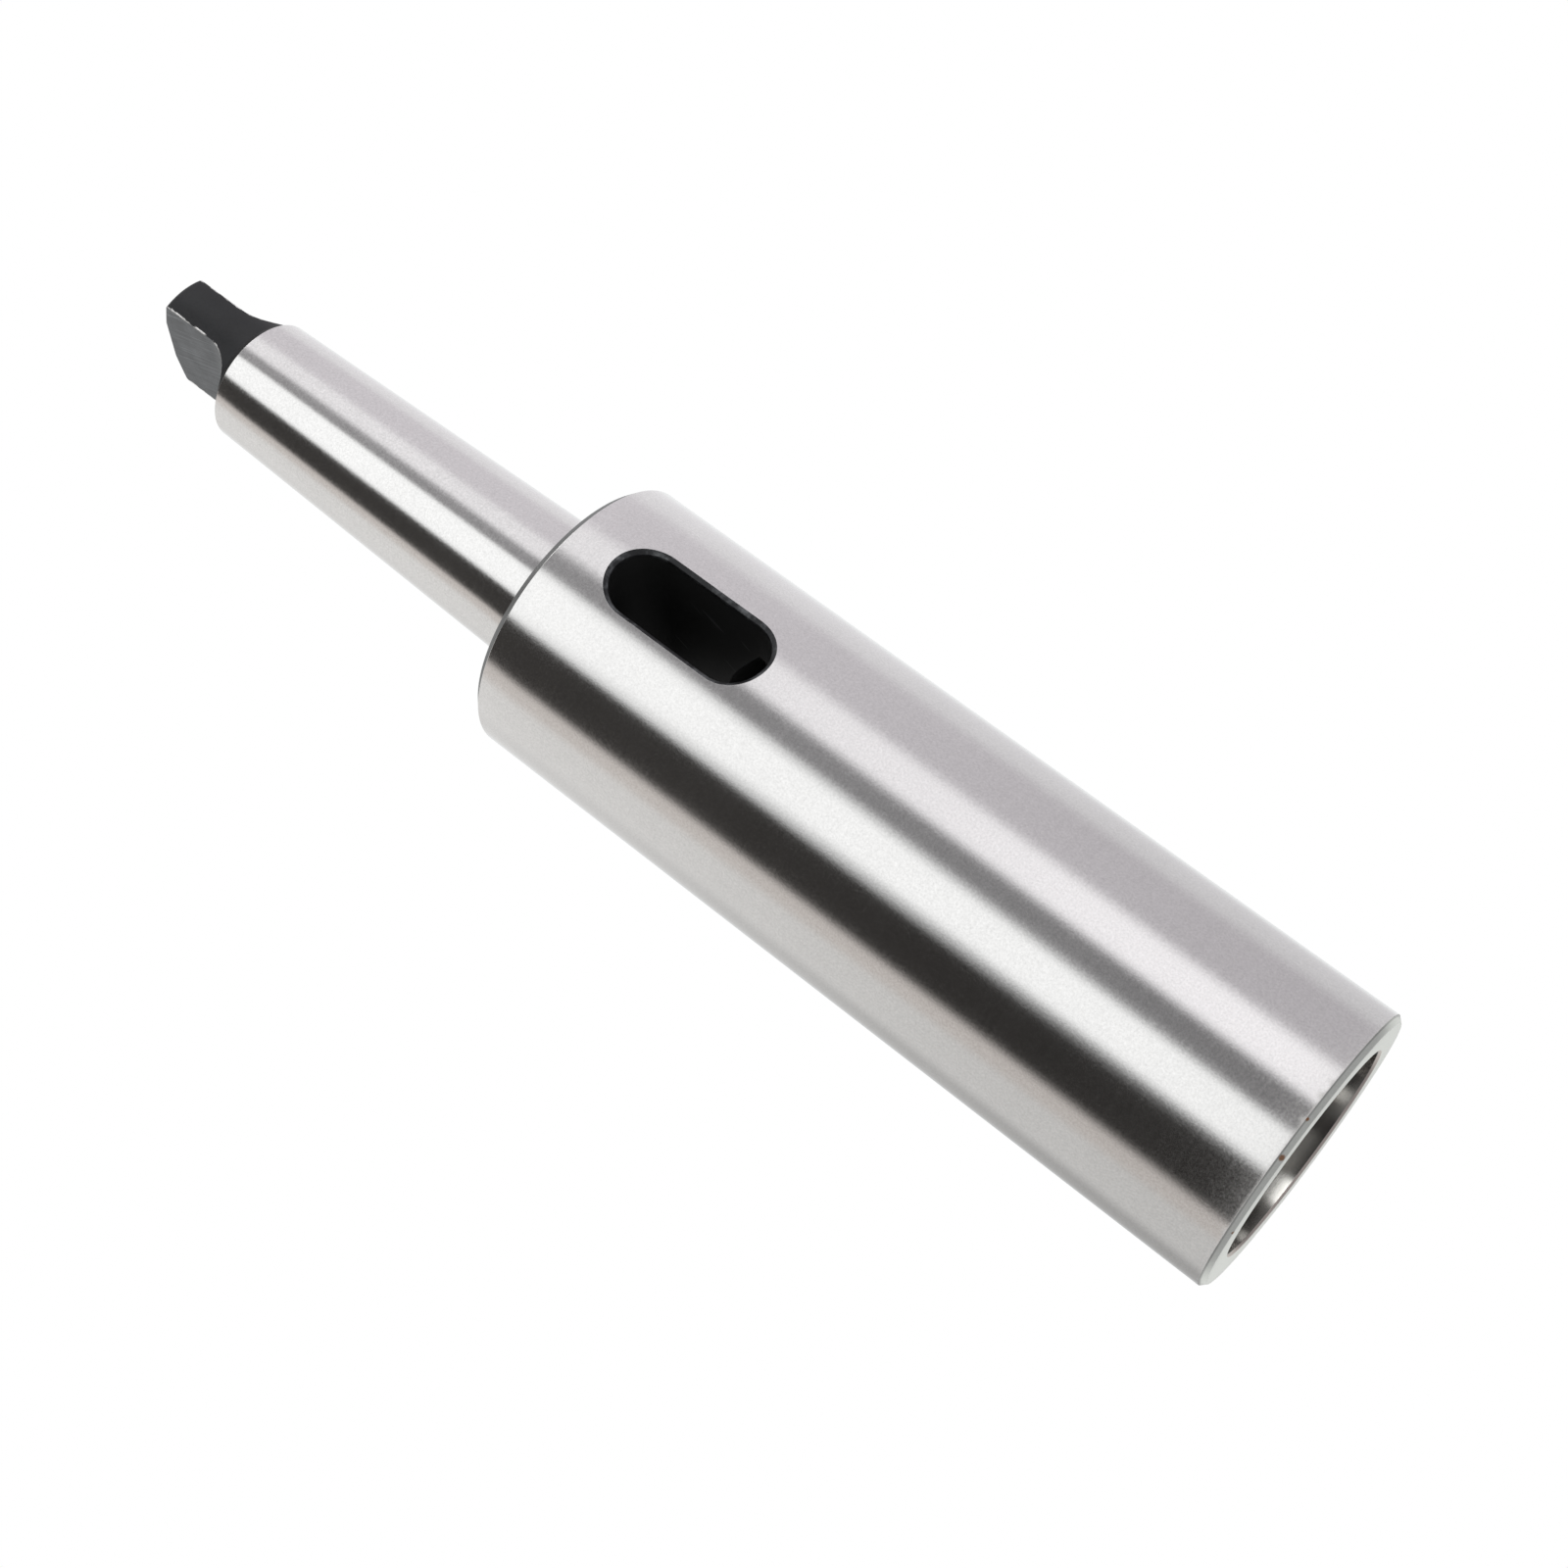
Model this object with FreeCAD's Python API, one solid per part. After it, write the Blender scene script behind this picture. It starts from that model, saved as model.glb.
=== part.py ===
"""Morse taper extension sleeve: a number 5 tang shank that carries a number 6 socket.

One turned and ground piece. The socket mouth is at z = 0 and the axis runs up +Z to the tang.
The drift slot runs right through along Y, and the tang's flats face +X and -X.
"""
import FreeCAD, Part
import math
import os

# Body
body_diameter = 84.0
mouth_chamfer = 1.5
shoulder_chamfer = 2.3

# Socket, Morse taper number 6
socket_gauge_diameter = 63.348
socket_taper = 1.0 / 19.180
socket_lead_in_diameter = 64.1
socket_lead_in_angle = 60.0
socket_relief_diameter = 54.8
socket_depth = 188.0
drill_point_angle = 118.0

# Drift slot, which opens into the socket's drilled end and leaves solid metal below the shoulder
slot_width = 20.2
slot_length = 50.0
slot_below_socket_depth = 9.5
solid_above_slot = 17.5
slot_edge_break = 1.4

# Shank, Morse taper number 5
shank_gauge_diameter = 44.399
shank_taper = 1.0 / 19.002
shank_gauge_height = 6.5
shank_cone_length = 125.2
shank_end_bevel_height = 1.7

# Grinding relief beside the shoulder
relief_width = 4.0
relief_depth = 0.7
relief_corner_radius = 0.6

# Tang
tang_diameter = 36.0
tang_thickness = 13.5
tang_flat_length = 20.3
tang_run_out_radius = 12.0
tang_end_height = 157.5
tang_end_face_diameter = 20.0
tang_end_bevel_angle = 17.0
tang_end_corner_radius = 1.2

# Centre hole in the tang's end
centre_pilot_diameter = 3.15
centre_pilot_depth = 8.0
centre_mouth_diameter = 6.7
centre_angle = 60.0

# Room for the cutters to run clear of the surface
cutter_clearance = 5.0

# Heights that follow from the sizes above
slot_bottom = socket_depth - slot_below_socket_depth
slot_top = slot_bottom + slot_length
body_length = slot_top + solid_above_slot
tang_end = body_length + tang_end_height

Vector = FreeCAD.Vector
ORIGIN = Vector(0, 0, 0)
X_AXIS = Vector(1, 0, 0)
Y_AXIS = Vector(0, 1, 0)
Z_AXIS = Vector(0, 0, 1)


def point(radius, height):
    """A point of a turned profile, in the XZ half plane."""
    return Vector(radius, 0, height)


def line(start, end):
    return Part.LineSegment(start, end).toShape()


def turned(edges):
    """Revolve a closed profile about the axis."""
    profile = Part.Face(Part.Wire(edges))
    return profile.revolve(ORIGIN, Z_AXIS, 360)


def closed(points):
    """Straight edges through the points and back to the first."""
    ring = points + [points[0]]
    return [line(a, b) for a, b in zip(ring[:-1], ring[1:])]


def socket_radius(height):
    """Radius of the socket's cone at a height above the mouth."""
    return (socket_gauge_diameter - socket_taper * height) / 2


def shank_radius(height):
    """Radius of the shank's cone at a height above the mouth."""
    above_gauge = height - body_length - shank_gauge_height
    return (shank_gauge_diameter - shank_taper * above_gauge) / 2


def outer_form():
    """The body, relief groove, cone and tang spigot as one turned blank."""
    body_radius = body_diameter / 2
    tang_radius = tang_diameter / 2
    cone_end = body_length + shank_cone_length
    relief_top = body_length + relief_width
    groove_radius = shank_radius(relief_top) - relief_depth
    corner = relief_corner_radius
    corner_middle = corner * (1 - math.sqrt(0.5))

    # The tang's end: a flat face, a shallow bevel and a rounded corner tangent to both sides
    face_radius = tang_end_face_diameter / 2
    bevel = math.radians(tang_end_bevel_angle)
    rim_height = tang_end - (tang_radius - face_radius) * math.tan(bevel)
    setback = tang_end_corner_radius * math.tan((math.pi / 2 - bevel) / 2)
    centre_radius = tang_radius - tang_end_corner_radius
    centre_height = rim_height - setback
    middle = (math.pi / 2 - bevel) / 2

    p_axis_low = point(0, 0)
    p_mouth = point(body_radius - mouth_chamfer, 0)
    p_body_low = point(body_radius, mouth_chamfer)
    p_body_high = point(body_radius, body_length - shoulder_chamfer)
    p_shoulder = point(body_radius - shoulder_chamfer, body_length)
    p_corner_out = point(groove_radius + corner, body_length)
    p_corner_mid = point(groove_radius + corner_middle, body_length + corner_middle)
    p_corner_in = point(groove_radius, body_length + corner)
    p_groove_top = point(groove_radius, relief_top - relief_depth)
    p_cone_low = point(shank_radius(relief_top), relief_top)
    p_cone_high = point(shank_radius(cone_end), cone_end)
    p_spigot = point(tang_radius, cone_end + shank_end_bevel_height)
    p_round_low = point(tang_radius, centre_height)
    p_round_mid = point(
        centre_radius + tang_end_corner_radius * math.cos(middle),
        centre_height + tang_end_corner_radius * math.sin(middle),
    )
    p_round_high = point(
        centre_radius + tang_end_corner_radius * math.sin(bevel),
        centre_height + tang_end_corner_radius * math.cos(bevel),
    )
    p_end_face = point(face_radius, tang_end)
    p_axis_high = point(0, tang_end)

    return turned([
        line(p_axis_low, p_mouth),
        line(p_mouth, p_body_low),
        line(p_body_low, p_body_high),
        line(p_body_high, p_shoulder),
        line(p_shoulder, p_corner_out),
        Part.Arc(p_corner_out, p_corner_mid, p_corner_in).toShape(),
        line(p_corner_in, p_groove_top),
        line(p_groove_top, p_cone_low),
        line(p_cone_low, p_cone_high),
        line(p_cone_high, p_spigot),
        line(p_spigot, p_round_low),
        Part.Arc(p_round_low, p_round_mid, p_round_high).toShape(),
        line(p_round_high, p_end_face),
        line(p_end_face, p_axis_high),
        line(p_axis_high, p_axis_low),
    ])


def socket_bore():
    """Lead-in, Morse cone, cylindrical relief and drilled bottom."""
    relief_radius = socket_relief_diameter / 2
    lead_in_radius = socket_lead_in_diameter / 2
    slope = math.tan(math.radians(socket_lead_in_angle / 2))
    lead_in_height = (lead_in_radius - socket_radius(0)) / (slope - socket_taper / 2)
    cone_top = (socket_gauge_diameter - socket_relief_diameter) / socket_taper
    point_height = relief_radius / math.tan(math.radians(drill_point_angle / 2))
    below = -cutter_clearance
    return turned(closed([
        point(0, below),
        point(lead_in_radius, below),
        point(lead_in_radius, 0),
        point(socket_radius(lead_in_height), lead_in_height),
        point(relief_radius, cone_top),
        point(relief_radius, socket_depth),
        point(0, socket_depth + point_height),
    ]))


def slot_outline(depth):
    """The drift slot's outline with full round ends, in the plane y = depth."""
    radius = slot_width / 2
    low = slot_bottom + slot_width / 2
    high = slot_top - slot_width / 2
    right_low = Vector(radius, depth, low)
    right_high = Vector(radius, depth, high)
    left_low = Vector(-radius, depth, low)
    left_high = Vector(-radius, depth, high)
    return Part.Wire([
        line(right_low, right_high),
        Part.Arc(right_high, Vector(0, depth, high + radius), left_high).toShape(),
        line(left_high, left_low),
        Part.Arc(left_low, Vector(0, depth, low - radius), right_low).toShape(),
    ])


def drift_slot():
    """The slot's cutter, from clear of one side of the body to clear of the other."""
    reach = body_diameter / 2 + cutter_clearance
    face = Part.Face(slot_outline(-reach))
    return face.extrude(Y_AXIS * (2 * reach))


def slot_rim(shape):
    """The edges where the slot breaks out through the body's ground surface."""
    body_radius = body_diameter / 2
    rim = []
    for edge in shape.Edges:
        box = edge.BoundBox
        beside_slot = box.ZMin > slot_bottom - 0.01 and box.ZMax < slot_top + 0.01
        ends = [vertex.Point for vertex in edge.Vertexes]
        on_body = all(abs(math.hypot(p.x, p.y) - body_radius) < 0.01 for p in ends)
        if beside_slot and on_body and edge.Length < body_diameter:
            rim.append(edge)
    return rim


def tang_flat_cutter(side):
    """What the mill takes off one side of the tang, with its rounded run-out."""
    half = tang_thickness / 2
    clear = tang_diameter / 2 + cutter_clearance
    flat_start = tang_end - tang_flat_length
    radius = tang_run_out_radius
    rise = radius * (1 - math.sqrt(0.5))
    run = radius * math.sqrt(0.5)
    top = tang_end + cutter_clearance

    def at(x, z):
        return Vector(side * x, -clear, z)

    arc_end = at(half + radius, flat_start - radius)
    profile = Part.Wire([
        line(at(half, top), at(half, flat_start)),
        Part.Arc(at(half, flat_start), at(half + rise, flat_start - run), arc_end).toShape(),
        line(arc_end, at(clear + radius, flat_start - radius)),
        line(at(clear + radius, flat_start - radius), at(clear + radius, top)),
        line(at(clear + radius, top), at(half, top)),
    ])
    return Part.Face(profile).extrude(Y_AXIS * (2 * clear))


def centre_hole():
    """The centre that the shank was turned and ground on."""
    pilot_radius = centre_pilot_diameter / 2
    mouth_radius = centre_mouth_diameter / 2
    cone_depth = (mouth_radius - pilot_radius) / math.tan(math.radians(centre_angle / 2))
    tip_height = pilot_radius / math.tan(math.radians(drill_point_angle / 2))
    return turned(closed([
        point(0, tang_end + cutter_clearance),
        point(mouth_radius, tang_end + cutter_clearance),
        point(mouth_radius, tang_end),
        point(pilot_radius, tang_end - cone_depth),
        point(pilot_radius, tang_end - centre_pilot_depth),
        point(0, tang_end - centre_pilot_depth - tip_height),
    ]))


def extension_sleeve():
    sleeve = outer_form()
    sleeve = sleeve.cut(drift_slot())
    sleeve = sleeve.makeChamfer(slot_edge_break, slot_rim(sleeve))
    sleeve = sleeve.cut(socket_bore())
    sleeve = sleeve.cut(tang_flat_cutter(1))
    sleeve = sleeve.cut(tang_flat_cutter(-1))
    sleeve = sleeve.cut(centre_hole())
    return sleeve.Solids[0]


os.makedirs("parts", exist_ok=True)
sleeve = extension_sleeve()
print("extension_sleeve", sleeve.isValid(), sleeve.Volume, sleeve.BoundBox)
sleeve.exportStep(os.path.join("parts", "extension_sleeve.step"))
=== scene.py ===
"""Dresses a Morse taper extension sleeve: ground steel body and shank, blacked tang and drift slot."""

import math

import bmesh
import bpy
from mathutils import Euler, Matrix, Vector


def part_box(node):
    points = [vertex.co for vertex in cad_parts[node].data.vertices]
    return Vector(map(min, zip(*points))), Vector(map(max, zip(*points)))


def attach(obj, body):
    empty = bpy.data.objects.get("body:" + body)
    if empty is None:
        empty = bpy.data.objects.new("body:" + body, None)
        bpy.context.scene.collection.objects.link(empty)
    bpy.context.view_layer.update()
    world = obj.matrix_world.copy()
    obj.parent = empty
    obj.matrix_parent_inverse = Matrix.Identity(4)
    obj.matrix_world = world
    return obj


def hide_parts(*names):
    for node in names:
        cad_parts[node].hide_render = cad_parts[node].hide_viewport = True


bl_info = {
    "name": "Morse taper extension sleeve",
    "version": (1, 0, 0),
    "blender": (4, 5, 0),
    "location": "View3D > Sidebar > Sleeve",
    "description": "Builds a ground extension sleeve with a blacked tang, and a plain studio for it",
    "category": "Add Mesh",
}

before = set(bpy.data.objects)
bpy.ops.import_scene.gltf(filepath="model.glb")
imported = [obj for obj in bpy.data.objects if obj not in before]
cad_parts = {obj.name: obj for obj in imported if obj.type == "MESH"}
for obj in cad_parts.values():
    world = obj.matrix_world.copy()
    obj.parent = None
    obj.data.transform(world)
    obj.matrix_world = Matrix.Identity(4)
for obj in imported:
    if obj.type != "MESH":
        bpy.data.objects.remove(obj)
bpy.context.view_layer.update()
SLEEVE_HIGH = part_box("extension_sleeve")[1]


# ---------------------------------------------------------------- properties


def length(name, default, description):
    return bpy.props.FloatProperty(
        name=name, description=description, default=default, min=0.0, precision=5,
        subtype="DISTANCE", unit="LENGTH",
    )


def share(name, default, description):
    return bpy.props.FloatProperty(
        name=name, description=description, default=default, min=0.0, max=1.0, subtype="FACTOR"
    )


def colour(name, default, description):
    return bpy.props.FloatVectorProperty(
        name=name, description=description, default=default, size=3, min=0.0, max=1.0,
        subtype="COLOR",
    )


def turn(name, default, description):
    return bpy.props.FloatProperty(
        name=name, description=description, default=math.radians(default),
        subtype="ANGLE", unit="ROTATION",
    )


class SleeveSizes(bpy.types.PropertyGroup):
    """Sizes of the sleeve, from the socket's mouth at the floor up to the tang's end."""

    overall_length: length("Overall length", SLEEVE_HIGH[2], "Socket mouth to tang end")
    body_diameter: length("Body diameter", 0.084, "Ground outside of the body")
    body_length: length("Body length", 0.246, "Socket mouth to shoulder")
    mouth_chamfer: length("Mouth chamfer", 0.0015, "Chamfer round the mouth's outer edge")
    shoulder_chamfer: length("Shoulder chamfer", 0.0023, "Chamfer round the shoulder")
    socket_diameter: length("Socket diameter", 0.063348, "Socket cone at the mouth")
    socket_taper: share("Socket taper", 1 / 19.180, "Loss of diameter for each length of socket")
    socket_lead_in: length("Socket lead-in", 0.0641, "Outer diameter of the socket's lead-in")
    socket_relief: length("Socket relief", 0.0548, "Diameter of the bore above the cone")
    socket_depth: length("Socket depth", 0.188, "Depth of the bore to its drilled end")
    slot_width: length("Slot width", 0.0202, "Width of the drift slot")
    slot_bottom: length("Slot bottom", 0.1785, "Height where the drift slot starts")
    slot_top: length("Slot top", 0.2285, "Height where the drift slot ends")
    slot_edge_break: length("Slot edge break", 0.0014, "Chamfer round the drift slot")
    shank_diameter: length("Shank diameter", 0.044399, "Shank cone at its gauge line")
    shank_gauge_height: length("Gauge height", 0.0065, "Shoulder to the shank's gauge line")
    shank_taper: share("Shank taper", 1 / 19.002, "Loss of diameter for each length of shank")
    shank_length: length("Shank cone length", 0.1252, "Shoulder to the cone's small end")
    shank_bevel: length("Shank bevel", 0.0017, "Height of the bevel down to the tang")
    relief_width: length("Relief width", 0.004, "Width of the grinding relief")
    relief_depth: length("Relief depth", 0.0007, "Depth of the grinding relief")
    tang_diameter: length("Tang diameter", 0.036, "Turned outside of the tang")
    tang_thickness: length("Tang thickness", 0.0135, "Distance across the tang's flats")
    tang_flat_length: length("Tang flat length", 0.0203, "Length of the flats before the run-out")
    tang_run_out: length("Tang run-out", 0.012, "Radius where the flats run out")
    tang_face: length("Tang end face", 0.020, "Diameter of the tang's flat end")
    tang_corner: length("Tang corner", 0.0012, "Rounding round the tang's end")
    centre_mouth: length("Centre mouth", 0.0067, "Mouth diameter of the centre hole")
    centre_pilot: length("Centre pilot", 0.00315, "Pilot diameter of the centre hole")
    centre_depth: length("Centre depth", 0.008, "Depth of the centre hole's pilot")
    tang_bevel: turn("Tang end bevel", 17.0, "Slope of the bevel on the tang's end")
    turned_steps: bpy.props.IntProperty(
        name="Steps round", description="Flat steps round the turned form", default=480, min=32
    )


class SleeveFinish(bpy.types.PropertyGroup):
    """Colours and surface of the sleeve's finishes."""

    ground: colour("Ground steel", (0.62, 0.61, 0.60), "Ground outside of body and shank")
    turned: colour("Turned steel", (0.66, 0.67, 0.65), "Mouth face, chamfers and shoulder")
    bore: colour("Bore steel", (0.47, 0.46, 0.45), "Reamed inside of the socket")
    scale: colour("Black scale", (0.013, 0.0134, 0.0148), "Blacked tang and slot edge")
    # Deep black: dull black of the slot's walls and the small end's bevel, and painted shade on the bore's
    # drilled end and relief.
    deep: colour("Deep black", (0.006, 0.006, 0.006), "Blacked walls of the slot, bore end and bevel")
    milled: colour("Milled flat", (0.105, 0.11, 0.115), "Worn flats of the tang")
    bright: colour("Bare steel", (0.66, 0.65, 0.64), "Bare steel at worn edges")
    lead_in: colour("Lead-in", (0.50, 0.44, 0.42), "Lead-in bevel inside the mouth, gone brown")
    film: colour("Oil film", (0.30, 0.21, 0.17), "Thin film of old oil in the bore")
    rust: colour("Rust", (0.27, 0.12, 0.05), "Spots of rust at the mouth")
    ground_roughness: share("Ground roughness", 0.17, "Roughness of the ground steel")
    scale_roughness: share("Scale roughness", 0.42, "Roughness of the black scale")


class SleeveStudio(bpy.types.PropertyGroup):
    """Camera, floor and light round the sleeve."""

    lens: bpy.props.FloatProperty(
        name="Lens", description="Focal length of the camera", default=58.89, min=1.0,
        subtype="DISTANCE_CAMERA",
    )
    camera_place: bpy.props.FloatVectorProperty(
        name="Camera place", description="Where the camera stands", size=3,
        default=(-0.27335, -0.59760, -0.04798), subtype="TRANSLATION", unit="LENGTH",
    )
    camera_turn: bpy.props.FloatVectorProperty(
        name="Camera turn", description="How the camera is turned", size=3,
        default=(math.radians(118.777), math.radians(49.660), math.radians(-1.560)),
        subtype="EULER", unit="ROTATION",
    )
    floor: colour("Floor", (0.88, 0.88, 0.875), "Colour of the floor")
    floor_radius: length("Floor radius", 2.4, "Distance at which the floor has faded out")
    tent_radius: length("Tent radius", 0.9, "Distance from the sleeve to the light tent")
    tent_height: length("Tent height", 2.2, "Height of the light tent's wall")
    plain_light: share("Plain light", 0.9, "Strength of the light from all round")


# ---------------------------------------------------------------- shader maths


class Field:
    """A shader socket that takes part in Python arithmetic."""

    def __init__(self, shader, socket):
        self.shader = shader
        self.socket = socket

    def math(self, operation, *values):
        return self.shader.add("ShaderNodeMath", {"operation": operation}, values)

    def __add__(self, other):
        return self.math("ADD", self, other)

    __radd__ = __add__

    def __sub__(self, other):
        return self.math("SUBTRACT", self, other)

    def __rsub__(self, other):
        return self.math("SUBTRACT", other, self)

    def __mul__(self, other):
        return self.math("MULTIPLY", self, other)

    __rmul__ = __mul__

    def __truediv__(self, other):
        return self.math("DIVIDE", self, other)

    def __rtruediv__(self, other):
        return self.math("DIVIDE", other, self)

    def __pow__(self, other):
        return self.math("POWER", self, other)

    def __abs__(self):
        return self.math("ABSOLUTE", self)

    def __neg__(self):
        return self.math("MULTIPLY", self, -1.0)

    def lower(self, other):
        return self.math("MINIMUM", self, other)

    def higher(self, other):
        return self.math("MAXIMUM", self, other)

    def rise(self, low, high):
        """0 below low and 1 above high, with a soft step between."""
        return self.shader.add(
            "ShaderNodeMapRange",
            {"interpolation_type": "SMOOTHSTEP", "clamp": True},
            {"Value": self, "From Min": low, "From Max": high},
        )

    def near(self, place, inner, outer):
        """1 within inner of a place and 0 beyond outer."""
        return 1 - abs(self - place).rise(inner, outer)


class Shader:
    """A node tree that is filled through one method."""

    def __init__(self, tree):
        self.tree = tree
        tree.nodes.clear()

    def add(self, kind, settings=None, values=(), output=0):
        """A node of that kind, its settings set first, then the values or links of its sockets."""
        node = self.tree.nodes.new(kind)
        for name, value in (settings or {}).items():
            if name == "stops":
                self.set_stops(node.color_ramp, value)
            else:
                setattr(node, name, value)
        pairs = values.items() if isinstance(values, dict) else enumerate(values)
        for key, value in pairs:
            if isinstance(value, Field):
                self.tree.links.new(value.socket, node.inputs[key])
            elif value is not None:
                node.inputs[key].default_value = value
        return Field(self, node.outputs[output]) if node.outputs else None

    @staticmethod
    def set_stops(ramp, stops):
        ramp.interpolation = "EASE"
        while len(ramp.elements) > 1:
            ramp.elements.remove(ramp.elements[-1])
        for index, (place, value) in enumerate(stops):
            element = ramp.elements[0] if index == 0 else ramp.elements.new(place)
            element.position = place
            element.color = (value[0], value[1], value[2], 1.0)

    def parts(self, vector):
        """The x, y and z of a vector."""
        node = self.tree.nodes.new("ShaderNodeSeparateXYZ")
        self.tree.links.new(vector.socket, node.inputs[0])
        return [Field(self, node.outputs[i]) for i in range(3)]

    def place(self):
        """Where a point lies on the sleeve, in metres."""
        return self.add("ShaderNodeTexCoord", output=3)

    def stretched(self, vector, x, y, z):
        return self.add(
            "ShaderNodeVectorMath", {"operation": "MULTIPLY"}, [vector, (x, y, z)]
        )

    def noise(self, vector, scale, detail=2.0, roughness=0.5):
        """Noise about 0.5, with grains of about 1/scale metres."""
        return self.add(
            "ShaderNodeTexNoise",
            {"noise_dimensions": "3D"},
            {"Vector": vector, "Scale": scale, "Detail": detail, "Roughness": roughness},
        )

    def cells(self, vector, scale, output=0):
        """Distance to the nearest of many scattered points, or the colour of its cell."""
        return self.add(
            "ShaderNodeTexVoronoi",
            {"feature": "F1"},
            {"Vector": vector, "Scale": scale},
            output=output,
        )

    def mix(self, below, above, share):
        """Colour above laid over colour below."""
        return self.add(
            "ShaderNodeMix",
            {"data_type": "RGBA", "blend_type": "MIX"},
            {0: share, 6: below, 7: above},
            output=2,
        )

    def shaded(self, tone, level):
        """A colour made lighter or darker by a value."""
        if not isinstance(tone, Field):
            tone = tuple(tone)[:3]
        levels = self.add("ShaderNodeCombineXYZ", None, [level, level, level])
        return self.add("ShaderNodeVectorMath", {"operation": "MULTIPLY"}, [tone, levels])

    def surface(self, **sockets):
        """The Principled surface and the output, with sockets named in lower case."""
        named = {
            name.replace("_", " ").title().replace("Ior", "IOR"): value
            for name, value in sockets.items()
        }
        bsdf = self.add("ShaderNodeBsdfPrincipled", None, named)
        self.add("ShaderNodeOutputMaterial", None, {"Surface": bsdf})
        return bsdf


# Spots of rust by degrees round the sleeve, radius, height and size
RUST_SPOTS = ((240.0, 0.0411, 0.0007, 0.0011), (207.0, 0.0405, 0.0, 0.0007), (255.0, 0.0418, 0.0012, 0.0007))


def polar(angle, radius, height):
    """A place on the sleeve by degrees round it, radius and height."""
    turn_to = math.radians(angle)
    return (radius * math.cos(turn_to), radius * math.sin(turn_to), height)


def finish_material(name, tone):
    material = bpy.data.materials.new(name)
    material.use_nodes = True
    material.diffuse_color = (*tone, 1.0)
    return material, Shader(material.node_tree)


def solid(tone):
    return (tone[0], tone[1], tone[2], 1.0)


# ---------------------------------------------------------------- finishes


def rounded_normal(shader, radius, height, depth):
    """Tiny relief over edges that look broken by a fraction of a millimetre."""
    edge = shader.add("ShaderNodeBevel", {"samples": 4}, {"Radius": radius})
    return shader.add(
        "ShaderNodeBump", None,
        {"Strength": 1.0, "Distance": depth, "Height": height, "Normal": edge},
    )


def ground_steel(look, sizes):
    """Satin ground steel: fine grain, faint grinding lines round the axis, small dents."""
    material, s = finish_material("ground_steel", look.ground)
    p = s.place()
    grain = s.noise(p, 1500.0, 2.0, 0.6) - 0.5
    fine = s.noise(p, 4200.0, 2.0, 0.6) - 0.5
    rings = s.noise(s.stretched(p, 9.0, 9.0, 900.0), 1.0, 4.0, 0.7) - 0.5
    cloud = s.noise(s.stretched(p, 1.0, 1.0, 0.5), 42.0, 3.0, 0.55) - 0.5
    chosen = s.parts(s.cells(p, 95.0, output=1))[0].rise(0.72, 0.74)
    pit = (1 - s.cells(p, 95.0).rise(0.016, 0.030)) * chosen
    level = 1 + 0.38 * grain + 0.28 * fine + 0.08 * rings + 0.08 * cloud
    tone = s.shaded(s.mix(solid(look.ground), solid(look.bright), pit), level)
    roughness = look.ground_roughness + 0.12 * grain + 0.06 * rings + 0.05 * cloud + 0.2 * pit
    height = grain + 0.5 * fine + 0.5 * rings - 3 * pit
    s.surface(
        base_color=tone, metallic=1.0, roughness=roughness, anisotropic=0.7,
        anisotropic_rotation=0.25, normal=rounded_normal(s, 0.0001, height, 0.0000060),
    )
    return material


def spot(s, p, place, inner, outer):
    """1 at a place on the sleeve and 0 away from it, with a ragged edge."""
    gap = s.add("ShaderNodeVectorMath", {"operation": "DISTANCE"}, [p, place], output=1)
    return 1 - (gap + 0.0006 * (s.noise(p, 1800.0, 3.0, 0.7) - 0.5)).rise(inner, outer)


def turned_steel(look, sizes):
    """Turned steel of the mouth, its chamfer and the shoulder, with tool marks round the axis, and a painted
    shade line along the top of the mouth chamfer.
    """
    material, s = finish_material("turned_steel", look.turned)
    p = s.place()
    x, y, z = s.parts(p)
    radius = (x * x + y * y) ** 0.5
    grain = s.noise(p, 1700.0, 3.0, 0.6) - 0.5
    across = s.add("ShaderNodeCombineXYZ", None, [radius * 5200.0, z * 5200.0, 0.0])
    marks = s.noise(across, 1.0, 2.0) - 0.5
    cloud = s.noise(p, 60.0, 3.0, 0.6) - 0.5
    # Painted shade: a thin dark line along the top of the mouth chamfer, where it meets the ground outside,
    # mixed towards the black scale colour.
    edge = (z + 0.00012 * grain).near(sizes.mouth_chamfer - 0.00010, 0.00010, 0.00042)
    edge = edge * (0.70 + 0.9 * cloud)
    level = 1 + 0.30 * grain + 0.16 * marks + 0.22 * cloud
    tone = s.shaded(s.mix(solid(look.turned), solid(look.scale), 0.6 * edge), level)
    for angle, r, height, size in RUST_SPOTS:
        place = polar(angle, r, height)
        tone = s.mix(tone, solid(look.rust), 0.9 * spot(s, p, place, size * 0.5, size))
    s.surface(
        base_color=tone, metallic=1.0, roughness=0.34 + 0.18 * grain + 0.1 * cloud,
        anisotropic=0.3, anisotropic_rotation=0.25,
        normal=rounded_normal(s, 0.0001, grain + marks, 0.000008),
    )
    return material


def lead_in_steel(look, sizes):
    """Turned lead-in inside the mouth, dull and slightly brown."""
    material, s = finish_material("lead_in_steel", look.lead_in)
    p = s.place()
    grain = s.noise(p, 1600.0, 3.0, 0.6) - 0.5
    s.surface(
        base_color=s.shaded(solid(look.lead_in), 1 + 0.4 * grain), metallic=1.0,
        roughness=0.36 + 0.15 * grain, normal=rounded_normal(s, 0.0001, grain, 0.000008),
    )
    return material


def shoulder_steel(look, sizes):
    """Darker turned steel of the chamfer round the shoulder."""
    material, s = finish_material("shoulder_steel", look.turned)
    p = s.place()
    grain = s.noise(p, 1500.0, 3.0, 0.6) - 0.5
    tone = s.shaded(s.mix(solid(look.turned), solid(look.scale), 0.86), 1 + 0.4 * grain)
    s.surface(
        base_color=tone, metallic=0.5, roughness=0.48 + 0.2 * grain, specular_ior_level=0.3,
        normal=rounded_normal(s, 0.0002, grain, 0.000008),
    )
    return material


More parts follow.
